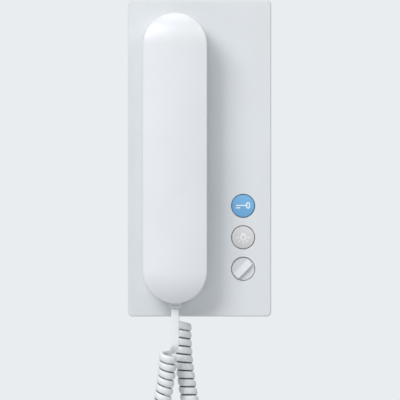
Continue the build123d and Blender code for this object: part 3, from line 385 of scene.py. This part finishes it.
# %% [markdown]
# ## Materials
#
# All the shells are injection moulded. Such a surface is one colour with two kinds of unevenness:
# a faint cloudiness over centimetres, and a fine grain under a millimetre that breaks up the
# gloss. Both come from noise textures in object coordinates, so they keep their real size on
# every piece. Numbers that are the same all over are set straight on the shader.

# %% Helper: a material with its shader
def srgb(red, green, blue):
    """A colour given on the 0 to 255 scale, as the shader wants it."""
    values = []
    for value in (red, green, blue):
        share = value / 255
        values.append(share / 12.92 if share <= 0.04045 else ((share + 0.055) / 1.055) ** 2.4)
    return (*values, 1.0)


def shade(colour, factor):
    """A colour made darker or lighter."""
    return (*[min(channel * factor, 1.0) for channel in colour[:3]], 1.0)


def new_finish(name, colour, roughness, metallic=0.0):
    """An empty finish: its material, its nodes and its shader."""
    material = bpy.data.materials.new(name)
    material.use_nodes = True
    shader = material.node_tree.nodes["Principled BSDF"]
    shader.inputs["Base Color"].default_value = colour
    shader.inputs["Roughness"].default_value = roughness
    shader.inputs["Metallic"].default_value = metallic
    material.diffuse_color = colour
    return material, material.node_tree, shader


def noise(tree, size, detail=3.0, stretch=(1, 1, 1)):
    """Noise whose lumps have a size in metres, stretched along the axes."""
    place = tree.nodes.new("ShaderNodeTexCoord")
    mapping = tree.nodes.new("ShaderNodeMapping")
    mapping.inputs["Scale"].default_value = [1 / (size * s) for s in stretch]
    texture = tree.nodes.new("ShaderNodeTexNoise")
    texture.inputs["Scale"].default_value = 1.0
    texture.inputs["Detail"].default_value = detail
    tree.links.new(place.outputs["Object"], mapping.inputs["Vector"])
    tree.links.new(mapping.outputs["Vector"], texture.inputs["Vector"])
    return texture.outputs["Fac"]


print("first helpers ready")

# %% [markdown]
# Three more helpers put a noise to use: as a tone between two colours, as a roughness that
# wanders, and as a relief. `moulded` joins all three into the finish of a moulded plastic.

# %% Helpers: cloudiness, uneven gloss and grain
cloud_size = 0.03
gloss_size = 0.004
gloss_change = 0.05
grain_detail = 4.0
coat_roughness = 0.12


def add_tone(tree, shader, value, dark, light, low=0.3, high=0.7):
    """Colours the shader between two tones, by a noise value."""
    ramp = tree.nodes.new("ShaderNodeValToRGB")
    ramp.color_ramp.elements[0].position = low
    ramp.color_ramp.elements[1].position = high
    ramp.color_ramp.elements[0].color = dark
    ramp.color_ramp.elements[1].color = light
    tree.links.new(value, ramp.inputs["Fac"])
    tree.links.new(ramp.outputs["Color"], shader.inputs["Base Color"])


def add_gloss_change(tree, shader, value, low, high):
    """Lets the roughness wander between two numbers."""
    span = tree.nodes.new("ShaderNodeMapRange")
    span.inputs["To Min"].default_value = low
    span.inputs["To Max"].default_value = high
    tree.links.new(value, span.inputs["Value"])
    tree.links.new(span.outputs["Result"], shader.inputs["Roughness"])


def add_relief(tree, shader, value, depth, strength=1.0):
    """A relief of a depth in metres, from a value."""
    bump = tree.nodes.new("ShaderNodeBump")
    bump.inputs["Distance"].default_value = depth
    bump.inputs["Strength"].default_value = strength
    tree.links.new(value, bump.inputs["Height"])
    tree.links.new(bump.outputs["Normal"], shader.inputs["Normal"])


def moulded(name, colour, roughness, grain=0.0006, relief=0.00001, cloud=0.015, coat=0.0):
    """Injection-moulded plastic."""
    material, tree, shader = new_finish(name, colour, roughness)
    shader.inputs["Coat Weight"].default_value = coat
    shader.inputs["Coat Roughness"].default_value = coat_roughness
    dark, light = shade(colour, 1 - cloud), shade(colour, 1 + cloud)
    add_tone(tree, shader, noise(tree, cloud_size), dark, light)
    low, high = roughness - gloss_change, roughness + gloss_change
    add_gloss_change(tree, shader, noise(tree, gloss_size), low, high)
    add_relief(tree, shader, noise(tree, grain, grain_detail), relief)
    return material


print("all helpers ready")

# %% [markdown]
# ### Plastics that show
#
# The cover is a matt cool white with a fine spark-eroded grain. The handset is the same white,
# smoother and a shade lighter, with a soft gloss from the hand. The knob matches the cover, one
# key is sky blue and the other mid grey, and their symbols are pale inlays that carry light.

# %% Visible plastics
finishes = {
    "cover_plastic": moulded("cover white", srgb(224, 228, 231), 0.55, relief=0.00002),
    "handset_plastic": moulded("handset white", srgb(233, 236, 239), 0.36, coat=0.15),
    "knob_plastic": moulded("knob white", srgb(219, 222, 225), 0.5),
    "blue_key_plastic": moulded("sky blue key", srgb(115, 177, 224), 0.45),
    "grey_key_plastic": moulded("grey key", srgb(214, 214, 214), 0.48),
    "symbol_plastic": moulded("symbol inlay", srgb(244, 251, 252), 0.3, coat=0.3),
    "plug_plastic": moulded("plug white", srgb(236, 239, 241), 0.28, coat=0.3),
}
print(len(finishes), "finishes")

# %% [markdown]
# ### The cord's jacket
#
# The jacket is soft extruded plastic: smoother than a moulding along its length, with faint dust
# in it that makes its gloss uneven. Between two close turns the colour is darkened by the depth
# that the mesh keeps: painted shade, where little light gets in.

# %% Cord jacket
jacket_colour = srgb(245, 247, 249)
# how far the painted shade between the turns darkens the jacket
painted_gap_shade_factor = 0.16
jacket, tree, shader = new_finish("cord jacket", jacket_colour, 0.38)
add_tone(tree, shader, noise(tree, 0.006), shade(jacket_colour, 0.97), shade(jacket_colour, 1.02))
add_gloss_change(tree, shader, noise(tree, 0.002), 0.32, 0.44)
add_relief(tree, shader, noise(tree, 0.0012, 2.0), 0.00002)
# painted shade: the jacket's colour darkened by each vertex's depth between the turns
painted_shade_depth = tree.nodes.new("ShaderNodeAttribute")
painted_shade_depth.attribute_name = "painted_gap_shade"
painted_shade_mix = tree.nodes.new("ShaderNodeMixRGB")
painted_shade_mix.inputs["Color2"].default_value = shade(jacket_colour, painted_gap_shade_factor)
tree.links.new(painted_shade_depth.outputs["Fac"], painted_shade_mix.inputs["Fac"])
tree.links.new(shader.inputs["Base Color"].links[0].from_socket, painted_shade_mix.inputs["Color1"])
tree.links.new(painted_shade_mix.outputs["Color"], shader.inputs["Base Color"])
finishes["cord_jacket"] = jacket
print("jacket ready")

# %% [markdown]
# ### Pieces inside and behind
#
# These show only from the back or when the handset is off, but each has its own stuff: grey
# inner mouldings, black capsules, a green board with copper under its varnish, a green terminal
# block, zinc-plated steel with drawn-out scratches, rubber, and thin insulated wires.

# %% Hidden plastics and rubber
finishes["grey_inner_plastic"] = moulded("inner grey", srgb(200, 203, 206), 0.6, relief=0.00003)
finishes["black_plastic"] = moulded("black plastic", srgb(38, 39, 42), 0.5)
finishes["terminal_plastic"] = moulded("terminal green", srgb(58, 128, 76), 0.5)
finishes["wire_insulation"] = moulded("wire red", srgb(170, 42, 36), 0.4)
finishes["black_rubber"] = moulded("black rubber", srgb(33, 33, 34), 0.8, relief=0.00004)
print(len(finishes), "finishes so far")

# %% [markdown]
# Two finishes are more than a plain moulding. Steel is a metal, and its scratches are a noise drawn
# out along one axis. A board's copper tracks show as lighter, slightly raised bands under the green
# varnish, which a noise gives when its tone jumps at one level.

# %% Steel and circuit board
steel_colour = srgb(196, 197, 196)
steel, tree, shader = new_finish("plated steel", steel_colour, 0.3, metallic=1.0)
scratches = noise(tree, 0.0008, 4.0, stretch=(12, 1, 1))
add_tone(tree, shader, scratches, shade(steel_colour, 0.85), shade(steel_colour, 1.05))
add_gloss_change(tree, shader, noise(tree, 0.003), 0.24, 0.42)
add_relief(tree, shader, scratches, 0.000008)
finishes["plated_steel"] = steel

board_green = srgb(36, 104, 62)
board, tree, shader = new_finish("board laminate", board_green, 0.35)
tracks = noise(tree, 0.0025, 0.0, stretch=(1, 1, 3))
add_tone(tree, shader, tracks, board_green, shade(board_green, 1.5), 0.49, 0.52)
add_gloss_change(tree, shader, noise(tree, 0.002), 0.28, 0.42)
add_relief(tree, shader, tracks, 0.00003)
finishes["board_laminate"] = board
print(len(finishes), "finishes in all")

# %% [markdown]
# ## Dress the pieces
#
# The record says which finish each node takes, so one loop dresses them all, and the cord takes
# its jacket by the same name.

# %% Give each node its finish
def dress(piece, material):
    """Puts a material on all of a piece."""
    if not piece.material_slots:
        piece.data.materials.append(material)
    for holder in piece.material_slots:
        holder.material = material


for row in frame["record"]["subparts"]:
    dress(frame["nodes"][row["node"]], finishes[row["material_slot"]])
dress(handset_cord, finishes["cord_jacket"])

# %% [markdown]
# ## Floor, backdrop and light
#
# The telephone hangs free, so the floor lies well below the cord's loop. The backdrop is the
# world's colour, seen only by camera, mirror and see-through rays, so its brightness adds no
# light to matt surfaces. The key light is a large soft box at the upper left, whose size makes
# the shadow beside the handset soft. Three weaker ones fill from the front, from above and from
# the right, and the world lifts what is left.

# %% Floor
floor_level = -0.45
floor_half = 2.0
floor_mesh = bpy.data.meshes.new("floor")
corners = [(-1, -1), (1, -1), (1, 1), (-1, 1)]
floor_mesh.from_pydata([(x * floor_half, y * floor_half, floor_level) for x, y in corners], [],
                       [(0, 1, 2, 3)])
floor = bpy.data.objects.new("floor", floor_mesh)
bpy.context.scene.collection.objects.link(floor)
dress(floor, moulded("floor paper", srgb(232, 234, 237), 0.9))
print("floor at", floor_level)

# %% [markdown]
# The world is two backgrounds at once: the backdrop for the rays named above, and a weak, slightly
# blue light for all the others. A maximum of the kinds of ray chooses between them.

# %% Backdrop
backdrop_colour = srgb(234, 237, 240)
ambient_colour = (0.97, 0.985, 1.0, 1.0)
ambient_strength = 0.18
world = bpy.data.worlds.new("studio")
bpy.context.scene.world = world
world.use_nodes = True
tree = world.node_tree
tree.nodes.clear()


def background(colour, strength):
    """The shader of an even world."""
    node = tree.nodes.new("ShaderNodeBackground")
    node.inputs["Color"].default_value = colour
    node.inputs["Strength"].default_value = strength
    return node.outputs["Background"]


def either(first, second):
    """The greater of two values."""
    node = tree.nodes.new("ShaderNodeMath")
    node.operation = "MAXIMUM"
    tree.links.new(first, node.inputs[0])
    tree.links.new(second, node.inputs[1])
    return node.outputs["Value"]


rays = tree.nodes.new("ShaderNodeLightPath").outputs
seen = either(either(rays["Is Camera Ray"], rays["Is Transmission Ray"]), rays["Is Glossy Ray"])
mix = tree.nodes.new("ShaderNodeMixShader")
tree.links.new(seen, mix.inputs["Fac"])
tree.links.new(background(ambient_colour, ambient_strength), mix.inputs[1])
tree.links.new(background(backdrop_colour, 1.0), mix.inputs[2])
output = tree.nodes.new("ShaderNodeOutputWorld")
tree.links.new(mix.outputs["Shader"], output.inputs["Surface"])
print("backdrop set")

# %% [markdown]
# All the lamps are square area lights that face the telephone. Each row gives a lamp's name, its
# place, the length of its side, and its power in watts.

# %% Lights
lamp_rows = [
    ("key_light", (-1.5, -2.0, 1.6), 1.3, 43.0),
    ("front_light", (-0.8, -2.4, 2.0), 1.0, 13.5),
    ("top_light", (0.0, -1.0, 3.0), 1.0, 17.1),
    ("fill_light", (1.6, -2.0, 1.6), 1.3, 14.4),
]
for name, place, side_length, power in lamp_rows:
    data = bpy.data.lights.new(name, "AREA")
    data.shape = "RECTANGLE"
    data.size = side_length
    data.size_y = side_length
    data.energy = power
    lamp = bpy.data.objects.new(name, data)
    lamp.location = place
    lamp.rotation_euler = (-Vector(place)).to_track_quat("-Z", "Y").to_euler()
    bpy.context.scene.collection.objects.link(lamp)
bpy.context.scene.view_settings.view_transform = "Standard"
print(len(lamp_rows), "lights set")
